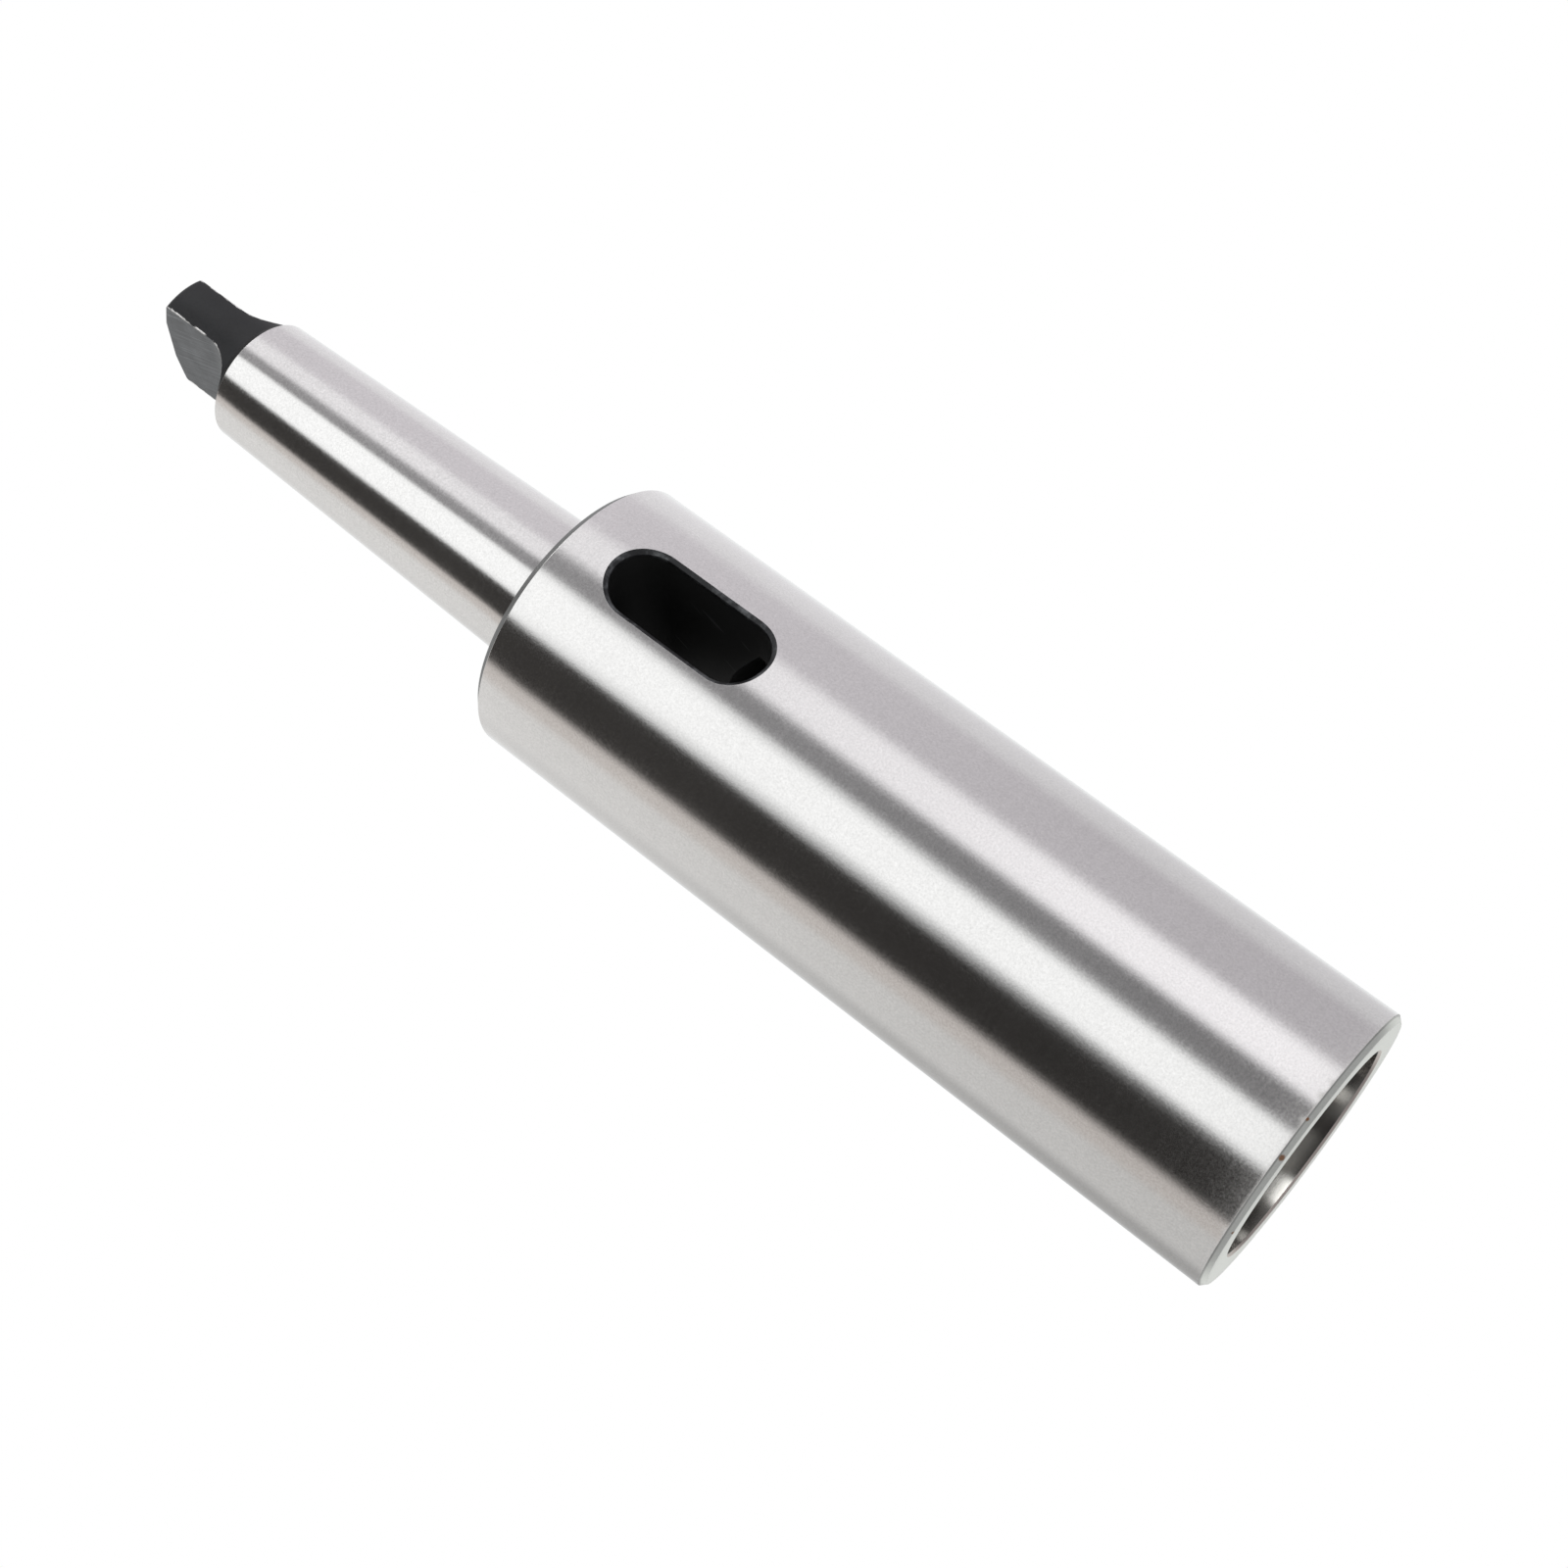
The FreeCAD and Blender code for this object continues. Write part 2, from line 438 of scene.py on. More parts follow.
def bore_steel(look, sizes):
    """Reamed steel inside the socket, with a thin film of oil gone brown."""
    material, s = finish_material("bore_steel", look.bore)
    p = s.place()
    grain = s.noise(p, 1600.0, 3.0, 0.6) - 0.5
    rings = s.noise(s.stretched(p, 8.0, 8.0, 1400.0), 1.0, 3.0) - 0.5
    film = s.noise(s.stretched(p, 1.0, 1.0, 0.6), 55.0, 3.0, 0.55).rise(0.52, 0.72)
    tone = s.mix(solid(look.bore), solid(look.film), 0.45 * film)
    tone = s.shaded(tone, 1 + 0.12 * grain + 0.10 * rings)
    s.surface(
        base_color=tone, metallic=1.0, roughness=0.17 + 0.06 * grain + 0.06 * rings,
        anisotropic=0.3, anisotropic_rotation=0.25,
        normal=rounded_normal(s, 0.0003, grain + rings, 0.0000015),
    )
    return material


def black_scale(look, sizes):
    """Smooth black heat scale of the tang's sides, end and run-outs."""
    material, s = finish_material("black_scale", look.scale)
    p = s.place()
    x, y, z = s.parts(p)
    grain = s.noise(p, 1100.0, 3.0, 0.6) - 0.5
    cloud = s.noise(p, 130.0, 3.0, 0.6) - 0.5
    tone = s.shaded(solid(look.scale), 1 + 0.5 * grain + 0.6 * cloud)
    worn = tang_edge_wear(s, p, x, y, z, sizes)
    tone = s.mix(tone, solid(look.bright), worn)
    s.surface(
        base_color=tone, metallic=0.9 * worn, roughness=look.scale_roughness + 0.2 * grain,
        specular_ior_level=0.2,
        normal=rounded_normal(s, 0.0003, grain + 0.5 * cloud - 2 * worn, 0.000012),
    )
    return material


def tang_edge_wear(s, p, x, y, z, sizes):
    """Where the tang's long edges and end corners are knocked bright."""
    run_out = sizes.tang_run_out
    outside = sizes.tang_diameter / 2
    flat_start = sizes.overall_length - sizes.tang_flat_length
    down = ((flat_start - z) / run_out).higher(0.0).lower(0.999)
    half = sizes.tang_thickness / 2 + run_out * (1 - (1 - down * down) ** 0.5)
    rim = (outside**2 - half * half).higher(0.0) ** 0.5
    off_x = abs(x) - half
    off_y = abs(y) - rim
    gap = (off_x * off_x + off_y * off_y) ** 0.5
    ragged = s.noise(s.stretched(p, 1.0, 1.0, 0.45), 1100.0, 3.0, 0.7)
    corner = z.rise(sizes.overall_length - 0.0075, sizes.overall_length - 0.0040)
    reach = 0.00016 + 0.0005 * corner * s.noise(p, 700.0).rise(0.5, 0.7)
    line = 1 - ((gap + 0.0009 * (ragged - 0.58)) - reach).rise(0.0, 0.00016)
    broken = s.noise(s.stretched(p, 1.0, 1.0, 0.5), 420.0, 2.0, 0.6).rise(0.45, 0.55)
    fading = z.rise(flat_start - 0.0075, flat_start - 0.0005)
    return line * broken * (0.25 + 0.75 * fading)


def milled_flat(look, sizes):
    """Grey worn flats of the tang, scratched along the axis."""
    material, s = finish_material("milled_flat", look.milled)
    p = s.place()
    x, y, z = s.parts(p)
    grain = s.noise(p, 1300.0, 3.0, 0.65) - 0.5
    slanted = s.add("ShaderNodeCombineXYZ", None, [x * 40.0, y * 2400.0 - z * 1000.0, z * 60.0])
    scratch = s.noise(slanted, 1.0, 4.0, 0.72)
    deep = s.noise(slanted, 0.6, 2.0, 0.6).rise(0.60, 0.68)
    cloud = s.noise(p, 160.0, 3.0, 0.6) - 0.5
    level = 1 + 2.2 * (scratch - 0.5) + 0.5 * grain + 0.9 * cloud + 0.6 * deep
    worn = tang_edge_wear(s, p, x, y, z, sizes)
    run_out_end = sizes.overall_length - sizes.tang_flat_length - sizes.tang_run_out
    cleaned = (z + 0.002 * cloud).rise(run_out_end, run_out_end + 0.6 * sizes.tang_run_out)
    tone = s.mix(solid(look.scale), s.shaded(solid(look.milled), level), cleaned)
    tone = s.mix(tone, solid(look.bright), worn)
    s.surface(
        base_color=tone, metallic=0.75 * cleaned, roughness=0.46 + 0.25 * (scratch - 0.5) + 0.1 * grain,
        specular_ior_level=0.2,
        normal=rounded_normal(s, 0.0004, scratch + 0.4 * grain - 2 * worn, 0.000016),
    )
    return material


def black_and_bore_shade(look, sizes):
    """Dull black of the slot's walls and the small end's bevel; on the bore's drilled end and relief, above
    the reamed cone, the same black is painted shade.
    """
    material, s = finish_material("black_and_bore_shade", look.deep)
    p = s.place()
    x, y, z = s.parts(p)
    grain = s.noise(p, 1200.0, 3.0, 0.6) - 0.5
    slanted = s.add("ShaderNodeCombineXYZ", None, [x * 60.0, y * 900.0 + z * 500.0, z * 90.0])
    hair = s.noise(slanted, 1.0, 1.0).rise(0.74, 0.78) * 0.5
    tone = s.shaded(s.mix(solid(look.deep), solid(look.milled), hair), 1 + 0.6 * grain)
    s.surface(
        base_color=tone, metallic=0.0, roughness=0.62 + 0.2 * grain, specular_ior_level=0.2,
        normal=rounded_normal(s, 0.0001, grain, 0.00001),
    )
    return material


def slot_rim_steel(look, sizes):
    """Blacked edge break round the drift slot, rubbed grey in places."""
    material, s = finish_material("slot_rim_steel", look.scale)
    p = s.place()
    grain = s.noise(p, 1300.0, 3.0, 0.65) - 0.5
    rubbed = s.noise(p, 240.0, 3.0, 0.6).rise(0.45, 0.75)
    tone = s.mix(solid(look.scale), solid(look.milled), rubbed)
    s.surface(
        base_color=s.shaded(tone, 1 + 0.6 * grain), metallic=0.6, roughness=0.40 + 0.2 * grain,
        normal=rounded_normal(s, 0.0003, grain, 0.000012),
    )
    return material


FINISHES = (
    ground_steel, turned_steel, shoulder_steel, bore_steel, lead_in_steel,
    black_scale, milled_flat, black_and_bore_shade, slot_rim_steel,
)
GROUND, TURNED, SHOULDER, BORE, LEAD_IN, SCALE, MILLED, DEEP, RIM = range(9)


# ---------------------------------------------------------------- forms


def socket_radius(sizes, height):
    return (sizes.socket_diameter - sizes.socket_taper * height) / 2


def shank_radius(sizes, height):
    above = height - sizes.body_length - sizes.shank_gauge_height
    return (sizes.shank_diameter - sizes.shank_taper * above) / 2


def sleeve_corners(sizes):
    """Corners of the turned profile from the bore's end, round the mouth, to the tang's centre.

    Each is (radius, height, rounding, finish of the stretch that follows).
    """
    body = sizes.body_diameter / 2
    tang = sizes.tang_diameter / 2
    relief = sizes.socket_relief / 2
    lead = sizes.socket_lead_in / 2
    slope = math.tan(math.radians(30))
    lead_height = (lead - socket_radius(sizes, 0)) / (slope - sizes.socket_taper / 2)
    cone_top = (sizes.socket_diameter - sizes.socket_relief) / sizes.socket_taper
    drill_point = relief / math.tan(math.radians(59))
    shoulder = sizes.body_length
    relief_top = shoulder + sizes.relief_width
    groove = shank_radius(sizes, relief_top) - sizes.relief_depth
    cone_end = shoulder + sizes.shank_length
    end = sizes.overall_length
    rim_height = end - (tang - sizes.tang_face / 2) * math.tan(sizes.tang_bevel)
    mouth = sizes.centre_mouth / 2
    pilot = sizes.centre_pilot / 2
    cone_depth = (mouth - pilot) / math.tan(math.radians(30))
    tip = pilot / math.tan(math.radians(59))
    return [
        # The bore's drilled end and relief take the deep black as painted shade.
        (0.0, sizes.socket_depth + drill_point, 0.0, DEEP),
        (relief, sizes.socket_depth, 0.0008, DEEP),
        (relief, cone_top, 0.0005, BORE),
        (socket_radius(sizes, lead_height), lead_height, 0.0001, LEAD_IN),
        (lead, 0.0, 0.00012, TURNED),
        (body - sizes.mouth_chamfer, 0.0, 0.0005, TURNED),
        (body, sizes.mouth_chamfer, 0.00013, GROUND),
        (body, sizes.mouth_chamfer + 0.0009, 0.0, GROUND),
        (body, sizes.mouth_chamfer + 0.0020, 0.0, GROUND),
        (body, shoulder - sizes.shoulder_chamfer, 0.0003, SHOULDER),
        (body - sizes.shoulder_chamfer, shoulder, 0.0003, TURNED),
        (groove, shoulder, 0.0006, TURNED),
        (groove, relief_top - sizes.relief_depth, 0.0002, TURNED),
        (shank_radius(sizes, relief_top), relief_top, 0.00015, GROUND),
        (shank_radius(sizes, cone_end), cone_end, 0.00020, DEEP),
        (tang, cone_end + sizes.shank_bevel, 0.0003, SCALE),
        (tang, rim_height, sizes.tang_corner, SCALE),
        (sizes.tang_face / 2, end, 0.0006, SCALE),
        (mouth, end, 0.00012, TURNED),
        (pilot, end - cone_depth, 0.0001, TURNED),
        (pilot, end - sizes.centre_depth, 0.0001, TURNED),
        (0.0, end - sizes.centre_depth - tip, 0.0, TURNED),
    ]


def rounded_profile(corners):
    """Points of the profile with every corner rounded, and the finish of each stretch."""
    points, finishes = [], []
    for i, (radius, height, rounding, finish) in enumerate(corners):
        here = Vector((radius, height))
        if rounding == 0.0:
            points.append(here)
            finishes.append(finish)
            continue
        back = Vector(corners[i - 1][:2]) - here
        ahead = Vector(corners[i + 1][:2]) - here
        half = back.angle(ahead) / 2
        setback = rounding / math.tan(half)
        back.normalize()
        ahead.normalize()
        centre = here + (back + ahead).normalized() * (rounding / math.sin(half))
        start = here + back * setback - centre
        stop = here + ahead * setback - centre
        steps = 4 if rounding < 0.001 else 8
        sweep = start.angle(stop)
        before = corners[i - 1][3]
        for k in range(steps + 1):
            t = k / steps
            ray = (start * math.sin((1 - t) * sweep) + stop * math.sin(t * sweep)) / math.sin(sweep)
            points.append(centre + ray)
            finishes.append(finish if k == steps or t > 0.5 else before)
    return points, finishes


def long_stretches(points, finishes, longest):
    """The profile with its long straight stretches divided."""
    out_points, out_finishes = [points[0]], [finishes[0]]
    for i in range(1, len(points)):
        gap = points[i] - points[i - 1]
        parts = max(1, math.ceil(gap.length / longest))
        for k in range(1, parts + 1):
            out_points.append(points[i - 1] + gap * k / parts)
            out_finishes.append(finishes[i] if k == parts else finishes[i - 1])
    return out_points, out_finishes


# Knocks round the mouth's outer edge, by degrees round it, and width and depth in millimetres
MOUTH_KNOCKS = (
    (270, 0.7, 0.11), (264, 1.0, 0.13), (254, 0.7, 0.10), (207, 1.0, 0.10),
    (171, 0.7, 0.12), (118, 1.2, 0.16), (36, 1.3, 0.16),
)
KNOCK_HEIGHT = 0.0008
KNOCKED_BELOW = 0.004
KNOCKED_OUTSIDE = 0.038


def mouth_nick(sizes, angle, height, radius):
    """How far a point is pushed in by the small knocks round the mouth's outer edge."""
    if height >= KNOCKED_BELOW or radius <= KNOCKED_OUTSIDE:
        return 0.0
    push = 0.0
    for place, width, depth in MOUTH_KNOCKS:
        off = (math.degrees(angle) - place + 180) % 360 - 180
        along = math.radians(off) * radius / (width / 1000)
        up = (height - sizes.mouth_chamfer) / KNOCK_HEIGHT
        push += depth / 1000 * math.exp(-(along**2) - up**2)
    return push


def revolve(sizes):
    """The turned form as vertices, faces and a finish for each face."""
    points, finishes = rounded_profile(sleeve_corners(sizes))
    points, finishes = long_stretches(points, finishes, 0.012)
    steps = sizes.turned_steps
    vertices, rows = [], []
    for radius, height in points:
        if radius < 1e-9:
            rows.append([len(vertices)])
            vertices.append((0.0, 0.0, height))
            continue
        rows.append(list(range(len(vertices), len(vertices) + steps)))
        for k in range(steps):
            angle = 2 * math.pi * k / steps
            r = radius - mouth_nick(sizes, angle, height, radius)
            vertices.append((r * math.cos(angle), r * math.sin(angle), height))
    faces, marks = [], []
    for i in range(len(rows) - 1):
        low, high = rows[i], rows[i + 1]
        for k in range(steps):
            n = (k + 1) % steps
            if len(low) == 1:
                faces.append((low[0], high[n], high[k]))
            elif len(high) == 1:
                faces.append((low[k], low[n], high[0]))
            else:
                faces.append((low[k], low[n], high[n], high[k]))
            marks.append(finishes[i])
    return vertices, faces, marks


def lofted(rings, finish_of):
    """A closed form through rings of equal count, capped at both ends, and its faces' finishes."""
    count = len(rings[0])
    vertices = [tuple(p) for ring in rings for p in ring]
    faces = [tuple(range(count))[::-1]]
    marks = [DEEP]
    for i in range(len(rings) - 1):
        for k in range(count):
            n = (k + 1) % count
            a, b = i * count, (i + 1) * count
            faces.append((a + k, a + n, b + n, b + k))
            marks.append(finish_of(i, k))
    last = (len(rings) - 1) * count
    faces.append(tuple(range(last, last + count)))
    marks.append(DEEP)
    return vertices, faces, marks


# How far the cutters reach past the form that they cut
PAST_BODY = 0.004
PAST_TANG = 0.005


def slot_cutter(sizes):
    """The drift slot with its edge break flared to follow the round body, from side to side."""
    body = sizes.body_diameter / 2
    half = sizes.slot_width / 2
    low, high = sizes.slot_bottom + half, sizes.slot_top - half
    outline = []
    steps = 40
    for centre, start in ((high, 0.0), (low, math.pi)):
        for k in range(steps + 1):
            angle = start + math.pi * k / steps
            outline.append((Vector((math.cos(angle), math.sin(angle))), centre))
    size = sizes.slot_edge_break

    def ring(side, out, down):
        """The outline moved out along the surface, and down into the wall or up off it."""
        row = []
        for normal, centre in outline:
            x = half * normal.x
            tilt = math.sqrt(1 - (x / body) ** 2)
            px = x + out * normal.x * tilt
            depth = math.sqrt(body**2 - px**2) - down
            row.append(Vector((px, side * depth, centre + (half + out) * normal.y)))
        return row

    soft = [ring(side, size * 0.10, size * 0.80) for side in (-1, 1)]
    near = [ring(side, size * 0.86, size * 0.10) for side in (-1, 1)]
    edge = [ring(side, size * 1.04, -size * 0.02) for side in (-1, 1)]
    clear = [ring(side, size * 1.9, -size * 0.75) for side in (-1, 1)]
    deep = [ring(side, 0.0, size * 1.25) for side in (-1, 1)]
    outside = [
        [Vector((p.x, side * (body + PAST_BODY), p.z)) for p in row]
        for side, row in zip((-1, 1), clear)
    ]
    rings = [outside[0], clear[0], edge[0], near[0], soft[0], deep[0]]
    rings += [deep[1], soft[1], near[1], edge[1], clear[1], outside[1]]
    return lofted(rings, lambda i, k: DEEP if i == 5 else RIM)


def tang_cutter(sizes, side):
    """What the mill takes off one side of the tang, with its rounded run-out."""
    half = sizes.tang_thickness / 2
    radius = sizes.tang_run_out
    clear = sizes.tang_diameter / 2 + PAST_TANG
    top = sizes.overall_length + PAST_TANG
    flat_start = sizes.overall_length - sizes.tang_flat_length
    outline = [(half, top), (half, flat_start)]
    steps = 32
    for k in range(1, steps + 1):
        angle = math.radians(90) * k / steps
        out, down = radius * (1 - math.cos(angle)), radius * math.sin(angle)
        outline.append((half + out, flat_start - down))
    outline += [(clear + radius, flat_start - radius), (clear + radius, top)]
    rings = []
    for y in (-clear, clear):
        rings.append([Vector((side * x, side * y, z)) for x, z in outline])
    return lofted(rings, lambda i, k: MILLED)


def mesh_object(name, vertices, faces, marks=None):
    mesh = bpy.data.meshes.new(name)
    mesh.from_pydata(vertices, [], faces)
    if marks:
        mesh.polygons.foreach_set("material_index", marks)
    mesh.update()
    made = bpy.data.objects.new(name, mesh)
    bpy.context.collection.objects.link(made)
    return made


def facing_out(made):
    """Turns the faces outward if the form was wound inside out."""
    work = bmesh.new()
    work.from_mesh(made.data)
    bmesh.ops.recalc_face_normals(work, faces=work.faces)
    work.to_mesh(made.data)
    work.free()


def cut_away(blank, cutters):
    """Cuts each form out of the blank and keeps the result as its mesh."""
    for cutter in cutters:
        step = blank.modifiers.new("cut", "BOOLEAN")
        step.operation = "DIFFERENCE"
        step.solver = "EXACT"
        step.object = cutter
        step.material_mode = "INDEX"
    graph = bpy.context.evaluated_depsgraph_get()
    result = bpy.data.meshes.new_from_object(blank.evaluated_get(graph))
    blank.modifiers.clear()
    blank.data = result
    for cutter in cutters:
        bpy.data.objects.remove(cutter)


class SLEEVE_OT_sleeve(bpy.types.Operator):
    """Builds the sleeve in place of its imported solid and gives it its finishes"""

    bl_idname = "sleeve.build"
    bl_label = "Extension sleeve"

    def execute(self, context):
        sizes = context.scene.sleeve_sizes
        look = context.scene.sleeve_finish
        sleeve = mesh_object("sleeve_turned", *revolve(sizes))
        materials = [finish(look, sizes) for finish in FINISHES]
        cutters = [mesh_object("slot_cutter", *slot_cutter(sizes))]
        cutters += [mesh_object("tang_cutter", *tang_cutter(sizes, side)) for side in (-1, 1)]
        for made in [sleeve, *cutters]:
            facing_out(made)
            for material in materials:
                made.data.materials.append(material)
        cut_away(sleeve, cutters)
        mesh = sleeve.data
        if not mesh.polygons:
            raise RuntimeError("the cuts left nothing of the sleeve")
        mesh.shade_smooth()
        mesh.set_sharp_from_angle(angle=math.radians(28))
        sleeve.name = "dressed_sleeve"
        mesh.name = "dressed_sleeve"
        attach(sleeve, "root")
        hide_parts("extension_sleeve")
        return {"FINISHED"}


# ---------------------------------------------------------------- studio

# Panels of the light tent, as degrees round the sleeve from straight in front: start and end at
# the head, how far each of them leans at the foot, brightness at the foot and the head, and tint
TENT_PANELS = {
    "back_left": (-180, -166, 0, 0, 0.62, 0.98, "plain"),
    "left_rear": (-152, -140, 0, 0, 0.46, 0.93, "warm"),
    "left": (-118, -92, 0, 0, 0.76, 1.02, "warm"),
    "left_edge": (-82, -76, 0, 0, 0.68, 0.80, "brown"),
    "dark_flag": (-68, -35, 4, 5, 0.034, 0.055, "brown"),
    "key": (-28, 8, 9, -6, 1.42, 1.52, "plain"),
    "narrow_flag": (15, 25, -4, 0, 0.27, 0.40, "cool"),
    "fill": (37, 54, -2, 0, 1.40, 1.12, "cool"),
    "right": (68, 104, 0, 0, 0.64, 0.88, "mauve"),
    "right_rear": (122, 146, 0, 0, 0.82, 1.05, "cool"),
    "back_right": (160, 180, 0, 0, 0.95, 1.06, "plain"),
}
TINTS = {
    "plain": (0.985, 1.0, 1.008), "warm": (1.003, 1.0, 0.992), "brown": (1.06, 1.0, 0.96),
    "cool": (1.010, 1.0, 1.030), "mauve": (1.036, 1.0, 1.055),
}
BRIGHTEST = 1.6


def tent_stops(height):
    """Ramp stops of the tent at its foot (0) or head (1)."""
    stops = []
    for start, end, start_lean, end_lean, foot, head, tint in TENT_PANELS.values():
        tone = [channel * (foot, head)[height] / BRIGHTEST for channel in TINTS[tint]]
        for place, lean in ((start, start_lean), (end, end_lean)):
            stops.append(((place + lean * (1 - height) + 180) / 360, tone))
    return stops


def around_from_front(s, studio):
    """0 to 1 round the sleeve, 0.5 straight in front of the camera."""
    x, y, z = s.parts(s.place())
    front = math.atan2(studio.camera_place[1], studio.camera_place[0])
    across = x * -math.sin(front) + y * math.cos(front)
    ahead = x * math.cos(front) + y * math.sin(front)
    angle = s.add("ShaderNodeMath", {"operation": "ARCTAN2"}, [across, ahead])
    return angle / (2 * math.pi) + 0.5, z


def round_sheet(name, profile, steps):
    """A sheet turned about the axis, through points of (radius, height)."""
    vertices, faces = [], []
    for r, z in profile:
        for k in range(steps):
            angle = 2 * math.pi * k / steps
            vertices.append((r * math.cos(angle), r * math.sin(angle), z))
    for i in range(len(profile) - 1):
        for k in range(steps):
            n = (k + 1) % steps
            a, b = i * steps, (i + 1) * steps
            faces.append((a + k, b + k, b + n, a + n))
    return mesh_object(name, vertices, faces)


def glowing_sheet(made, s, material, tone, strength):
    """Gives the sheet a glow that only reflections see."""
    glow = s.add("ShaderNodeEmission", None, {"Color": tone, "Strength": strength})
    s.add("ShaderNodeOutputMaterial", None, {"Surface": glow})
    made.data.materials.append(material)
    made.visible_camera = False
    made.visible_diffuse = False
    made.visible_shadow = False
    made.visible_transmission = False


def make_floor(studio, sizes):
    """A pale round floor, open under the sleeve and from beneath, that fades out far away."""
    inner = sizes.body_diameter / 2 - sizes.mouth_chamfer - 0.0003
    radii = [inner, 0.06, 0.12, 0.3, 0.8, studio.floor_radius]
    floor = round_sheet("floor", [(radius, 0.0) for radius in radii], 128)
    material, s = finish_material("floor", studio.floor)
    x, y, z = s.parts(s.place())
    far = ((x * x + y * y) ** 0.5).rise(studio.floor_radius * 0.25, studio.floor_radius * 0.9)
    beneath = s.add("ShaderNodeNewGeometry", output=6)
    reflected = s.add("ShaderNodeLightPath", output=3)
    close = 1 - ((x * x + y * y) ** 0.5).rise(0.0425, 0.0435)
    level = 1 + 0.02 * (s.noise(s.place(), 300.0) - 0.5)
    pale = s.add("ShaderNodeBsdfDiffuse", None, {"Color": s.shaded(solid(studio.floor), level)})
    clear = s.add("ShaderNodeBsdfTransparent")
    gone = far.higher(beneath).higher(reflected * close)
    both = s.add("ShaderNodeMixShader", None, [gone, pale, clear])
    s.add("ShaderNodeOutputMaterial", None, {"Surface": both})
    floor.data.materials.append(material)


def make_tent(studio):
    """A round tent of panels that only reflections see, on the floor and up the walls."""
    radius, height = studio.tent_radius, studio.tent_height
    profile = [(0.13, 0.003), (radius * 0.6, 0.004), (radius * 0.85, 0.05)]
    profile += [(radius, 0.2), (radius, height)]
    tent = round_sheet("light_tent", profile, 180)
    material, s = finish_material("light_tent", (1.0, 1.0, 1.0))
    around, z = around_from_front(s, studio)
    foot = s.add("ShaderNodeValToRGB", {"stops": tent_stops(0)}, [around])
    head = s.add("ShaderNodeValToRGB", {"stops": tent_stops(1)}, [around])
    glowing_sheet(tent, s, material, s.mix(foot, head, z.rise(0.0, 0.8)), BRIGHTEST)


# Panels below the floor's level, which only the mouth and the bore reflect
UNDER_PANELS = {
    "back_left": (-180, -140, 1.0), "dark_left": (-122, -108, 0.12), "left": (-80, -60, 0.28),
    "front": (-38, 22, 0.02), "lamp": (33, 50, 3.6), "right": (64, 98, 0.22),
    "dark_right": (116, 128, 0.10), "back_right": (146, 180, 1.0),
}
UNDER_BOTTOM = 0.50


def make_under_panels(studio):
    """Panels below the floor's level that only the mouth and the bore reflect."""
    radius = studio.tent_radius
    profile = [(radius, -0.0005), (radius, -0.30), (radius * 0.7, -0.55), (0.02, -0.6)]
    under = round_sheet("under_panels", profile, 180)
    material, s = finish_material("under_panels", (0.5, 0.5, 0.5))
    around, z = around_from_front(s, studio)
    brightest = max(level for start, end, level in UNDER_PANELS.values())
    stops = []
    for start, end, level in UNDER_PANELS.values():
        tone = (level / brightest * 0.985, level / brightest, level / brightest * 0.97)
        stops += [((place + 180) / 360, tone) for place in (start, end)]
    wall = s.add("ShaderNodeValToRGB", {"stops": stops}, [around])
    level = UNDER_BOTTOM / brightest
    tone = s.mix((level, level, level, 1.0), wall, z.rise(-0.5, -0.3))
    glowing_sheet(under, s, material, tone, brightest)


def make_world(context, studio):
    """White to the eye and in reflections, and a plain even light on everything else."""
    world = bpy.data.worlds.new("studio")
    context.scene.world = world
    world.use_nodes = True
    s = Shader(world.node_tree)
    node = s.tree.nodes.new("ShaderNodeLightPath")
    rays = ("Is Camera Ray", "Is Glossy Ray", "Is Transmission Ray")
    seen = [Field(s, node.outputs[name]) for name in rays]
    shown = seen[0].higher(seen[1]).higher(seen[2])
    strength = studio.plain_light + (1 - studio.plain_light) * shown
    sky = s.add("ShaderNodeBackground", None, {"Color": (1.0, 1.0, 1.0, 1.0), "Strength": strength})
    s.add("ShaderNodeOutputWorld", None, {"Surface": sky})


LAMP_PLACE = (0.5, -0.9, 1.9)
LAMP_AIM = (0.0, 0.0, 0.15)
LAMP_WIDTH = 1.1
LAMP_WATTS = 9.0


def make_lamp(context, name, place, width, watts):
    lamp = bpy.data.lights.new(name, "AREA")
    lamp.shape = "DISK"
    lamp.size = width
    lamp.energy = watts
    made = bpy.data.objects.new(name, lamp)
    made.location = place
    aim = Vector(LAMP_AIM) - Vector(place)
    made.rotation_euler = aim.to_track_quat("-Z", "Y").to_euler()
    context.collection.objects.link(made)


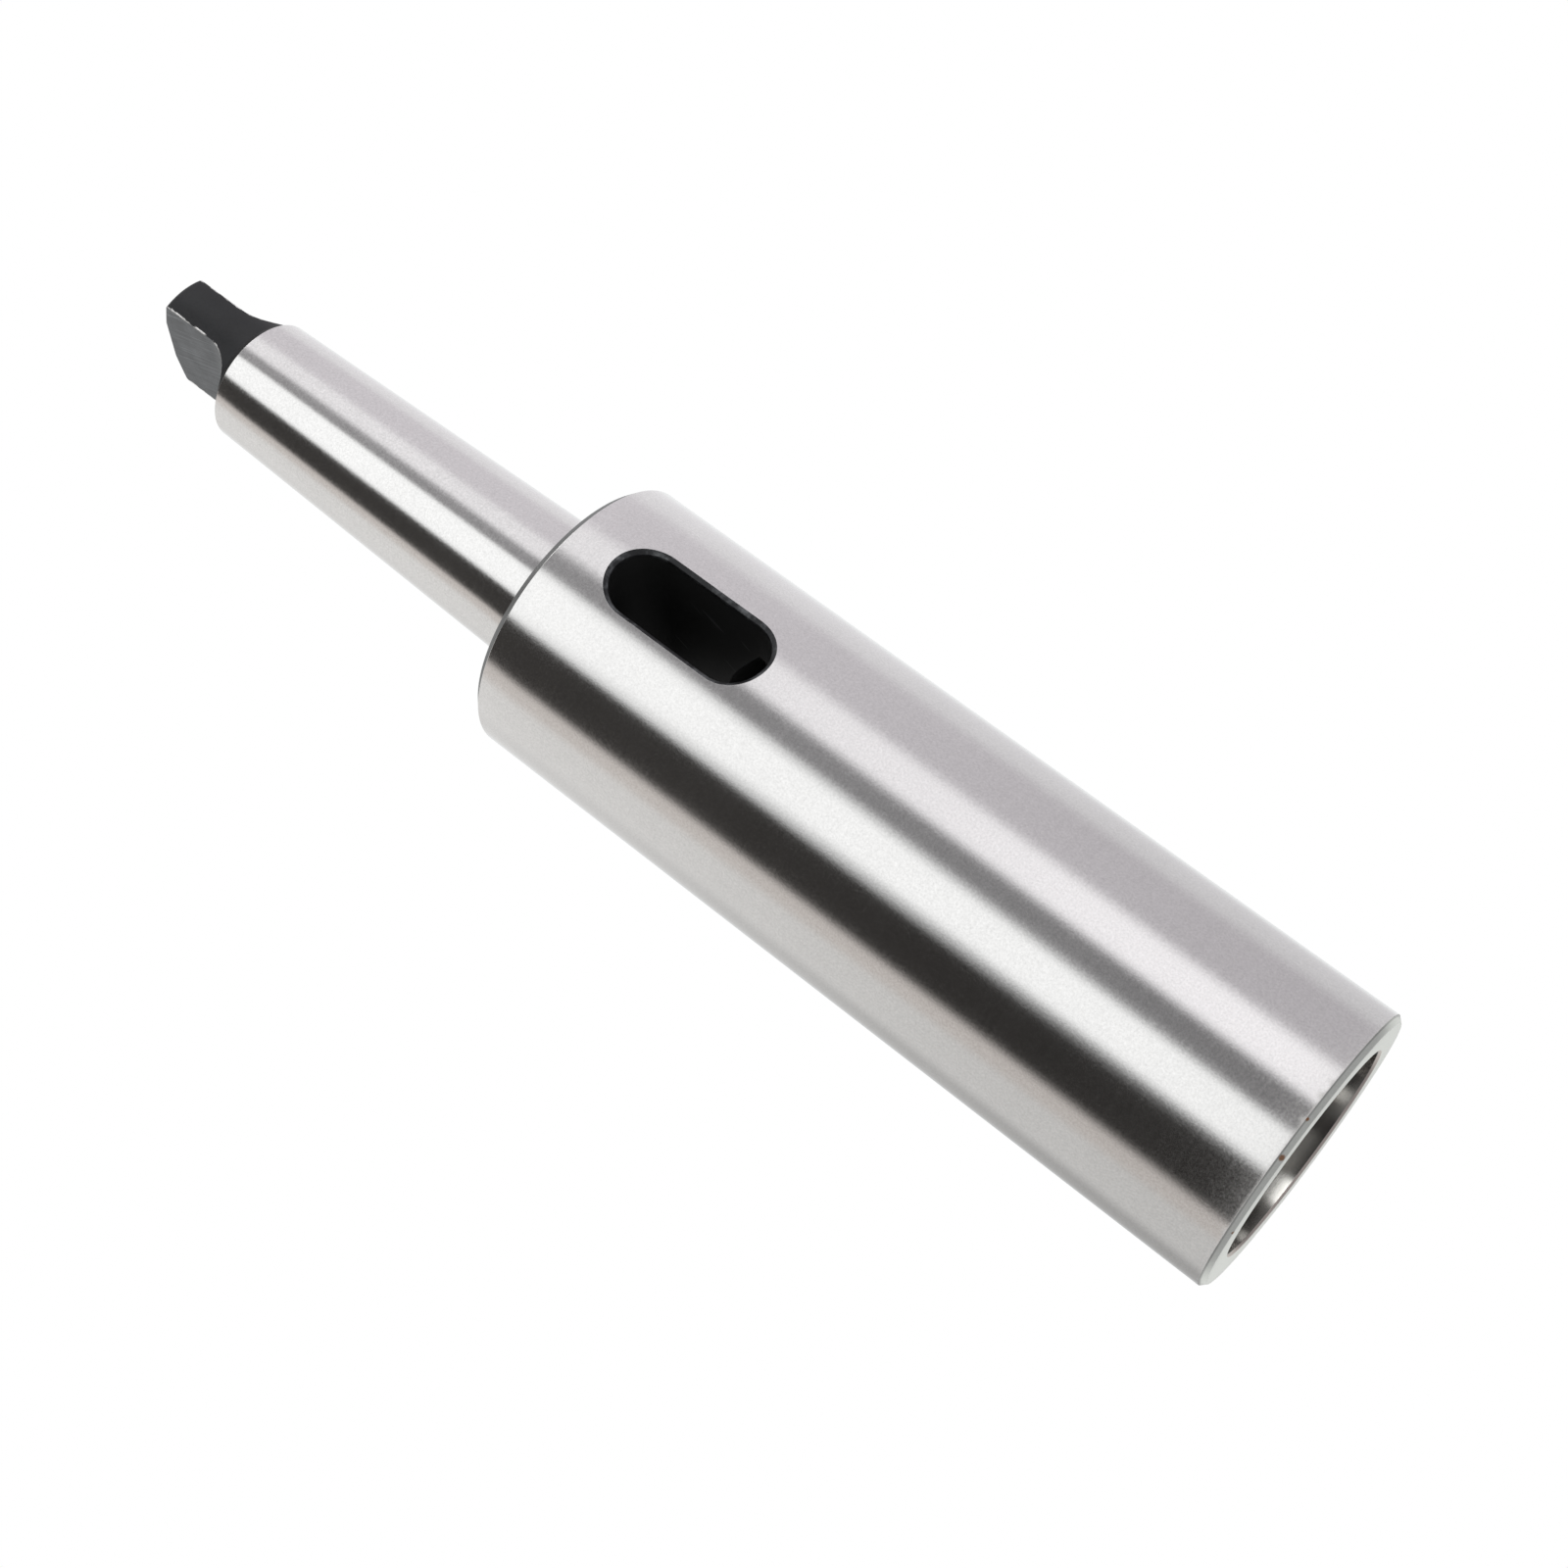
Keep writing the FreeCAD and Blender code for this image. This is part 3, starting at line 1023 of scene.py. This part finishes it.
def make_camera(context, studio):
    data = bpy.data.cameras.new("camera")
    data.lens = studio.lens
    data.sensor_width = 36.0
    data.clip_start = 0.01
    data.clip_end = 60.0
    made = bpy.data.objects.new("camera", data)
    made.location = studio.camera_place
    made.rotation_euler = Euler(studio.camera_turn, "XYZ")
    context.collection.objects.link(made)
    context.scene.camera = made


class SLEEVE_OT_stage(bpy.types.Operator):
    """Sets up the floor, the light tent, the lamp and the camera"""

    bl_idname = "sleeve.stage"
    bl_label = "Studio"

    def execute(self, context):
        studio = context.scene.sleeve_studio
        sizes = context.scene.sleeve_sizes
        make_floor(studio, sizes)
        make_tent(studio)
        make_under_panels(studio)
        make_world(context, studio)
        make_lamp(context, "soft_lamp", LAMP_PLACE, LAMP_WIDTH, LAMP_WATTS)
        make_camera(context, studio)
        context.scene.view_settings.view_transform = "Standard"
        return {"FINISHED"}


class SLEEVE_PT_panel(bpy.types.Panel):
    """Lists the sleeve's pieces and its studio"""

    bl_idname = "SLEEVE_PT_panel"
    bl_label = "Extension sleeve"
    bl_space_type = "VIEW_3D"
    bl_region_type = "UI"
    bl_category = "Sleeve"

    def draw(self, context):
        for operator in OPERATORS:
            self.layout.operator(operator.bl_idname)
        for group in [getattr(context.scene, name) for name in GROUPS]:
            box = self.layout.box()
            for name in group.__annotations__:
                box.prop(group, name)


OPERATORS = (SLEEVE_OT_sleeve, SLEEVE_OT_stage)
GROUPS = {"sleeve_sizes": SleeveSizes, "sleeve_finish": SleeveFinish, "sleeve_studio": SleeveStudio}


def register():
    for kind in (*GROUPS.values(), *OPERATORS, SLEEVE_PT_panel):
        bpy.utils.register_class(kind)
    for name, group in GROUPS.items():
        setattr(bpy.types.Scene, name, bpy.props.PointerProperty(type=group))


def unregister():
    for name in GROUPS:
        delattr(bpy.types.Scene, name)
    for kind in (SLEEVE_PT_panel, *OPERATORS, *GROUPS.values()):
        bpy.utils.unregister_class(kind)


def main():
    register()
    bpy.ops.sleeve.build()
    bpy.ops.sleeve.stage()


if __name__ == "__main__":
    main()
